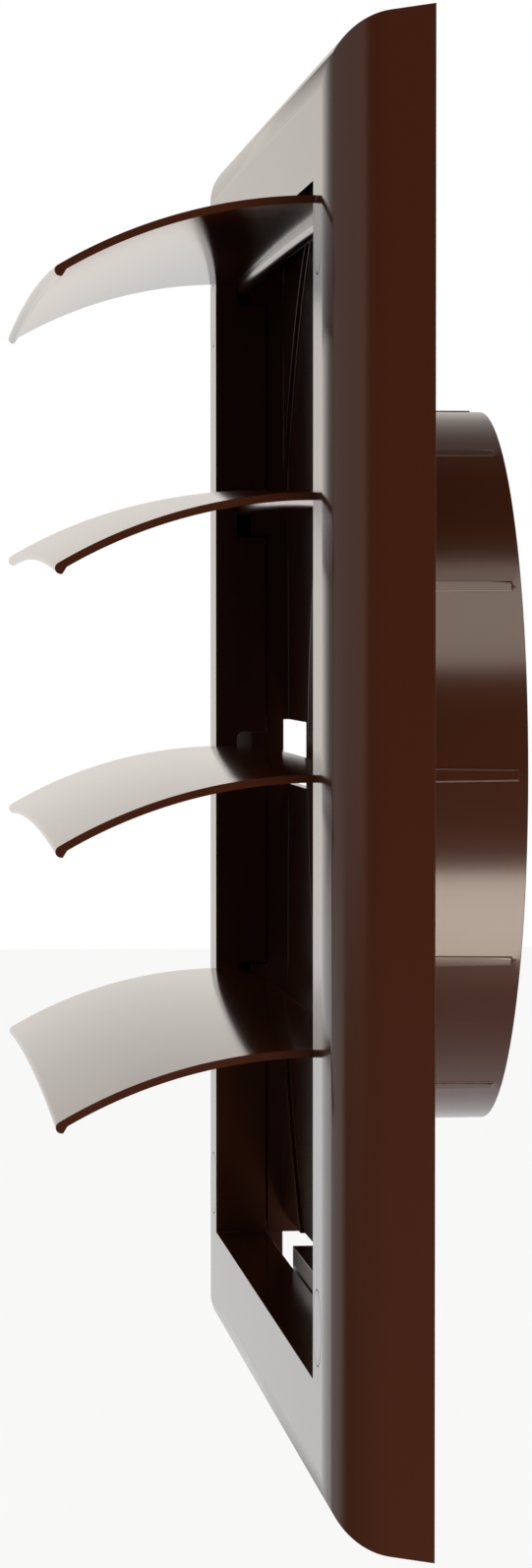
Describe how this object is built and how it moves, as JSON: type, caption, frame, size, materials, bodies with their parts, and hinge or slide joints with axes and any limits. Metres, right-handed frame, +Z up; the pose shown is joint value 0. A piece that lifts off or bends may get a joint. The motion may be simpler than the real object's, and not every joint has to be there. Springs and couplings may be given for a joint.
{
  "type": "louvred exhaust vent",
  "caption": "Square louvred wall vent for an exhaust duct: dished frame, gravity flaps that hang on loose pins, and a base plate with a round duct spigot.",
  "frame": {"origin": "on the axis of the duct spigot, in the plane of the wall, which is the back face of the frame and the base plate", "axes": "+Y along the spigot into the wall, +Z up, the face and the open flaps look along -Y"},
  "size_m": [0.19, 0.0633, 0.19],
  "materials": {
    "frame": "injection moulded, dark brown, high gloss",
    "base": "injection moulded, dark brown, high gloss, with fine turned lines on the spigot",
    "flaps": "injection moulded, dark brown, high gloss",
    "covers": "injection moulded, dark brown, high gloss"
  },
  "bodies": {
    "housing": {"front_frame": "frame", "base_plate": "base", "screw_cover_1": "covers", "screw_cover_2": "covers", "screw_cover_3": "covers", "screw_cover_4": "covers"},
    "flap_1": {"flap_1": "flaps"},
    "flap_2": {"flap_2": "flaps"},
    "flap_3": {"flap_3": "flaps"},
    "flap_4": {"flap_4": "flaps"}
  },
  "joints": [
    {"name": "flap_1_hinge", "type": "hinge", "parent": "housing", "child": "flap_1", "pos_m": [0, -0.0086, 0.0722], "axis": [-1, 0, 0], "range_deg": [-71, 2]},
    {"name": "flap_2_hinge", "type": "hinge", "parent": "housing", "child": "flap_2", "pos_m": [0, -0.0086, 0.0365], "axis": [-0.9998, 0, 0.0192], "range_deg": [-71, 2]},
    {"name": "flap_3_hinge", "type": "hinge", "parent": "housing", "child": "flap_3", "pos_m": [0, -0.0086, -0.0004], "axis": [-1, 0, 0], "range_deg": [-71, 2]},
    {"name": "flap_4_hinge", "type": "hinge", "parent": "housing", "child": "flap_4", "pos_m": [0, -0.0086, -0.035], "axis": [-1, 0, 0], "range_deg": [-71, 2]}
  ],
  "couplings": [
    {"joint": "flap_2_hinge", "follows": "flap_1_hinge", "ratio": 1},
    {"joint": "flap_3_hinge", "follows": "flap_1_hinge", "ratio": 1},
    {"joint": "flap_4_hinge", "follows": "flap_1_hinge", "ratio": 1}
  ]
}
